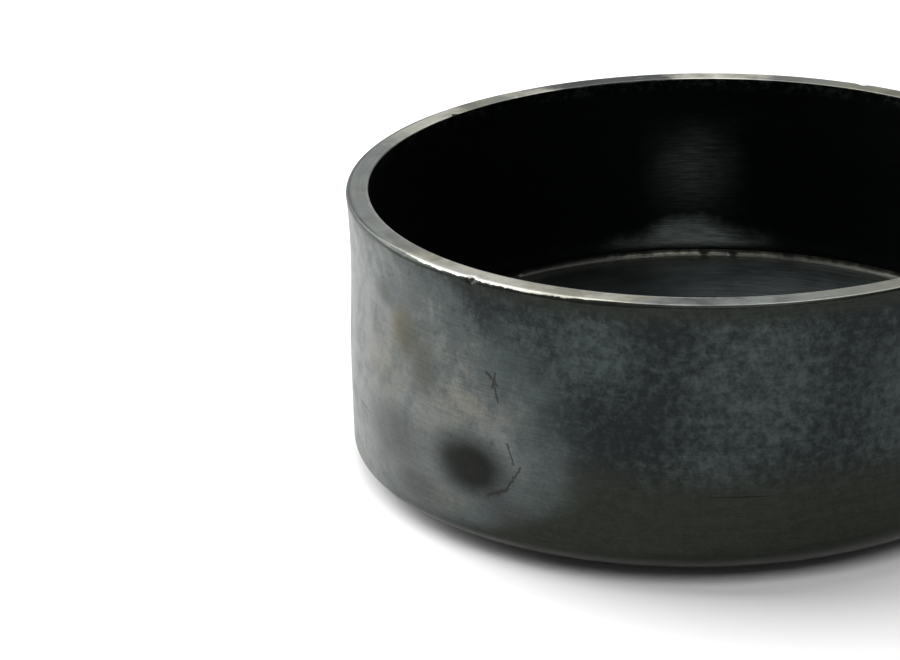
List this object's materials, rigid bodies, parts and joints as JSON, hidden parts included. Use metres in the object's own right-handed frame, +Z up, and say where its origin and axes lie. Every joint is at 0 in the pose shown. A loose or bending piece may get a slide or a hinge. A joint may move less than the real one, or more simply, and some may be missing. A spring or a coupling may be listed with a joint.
{
  "type": "metal bowl",
  "caption": "Low straight-sided round metal bowl with a heavy wall, a flat rim, a slightly flared mouth, a thick rounded base and a brazed seam.",
  "frame": {"origin": "centre of the circle that the bowl stands on, in the plane of the foot", "axes": "+Z up, along the bowl's axis of symmetry, from the foot to the mouth; +X and +Y are alike"},
  "size_m": [0.1608, 0.1608, 0.064],
  "materials": {
    "patinated_wall": "turned, chemically darkened and waxed; light grey to charcoal patina with the bare metal showing at the rim's worn edges",
    "patinated_base": "turned, chemically darkened and waxed; charcoal patina, browner towards the foot",
    "brazing_metal": "brazing metal, brushed and darkened, a little paler and browner than the pieces it joins, with small pits"
  },
  "bodies": {
    "root": {"wall_ring": "patinated_wall", "base_dish": "patinated_base", "braze_seam": "brazing_metal"}
  },
  "joints": []
}
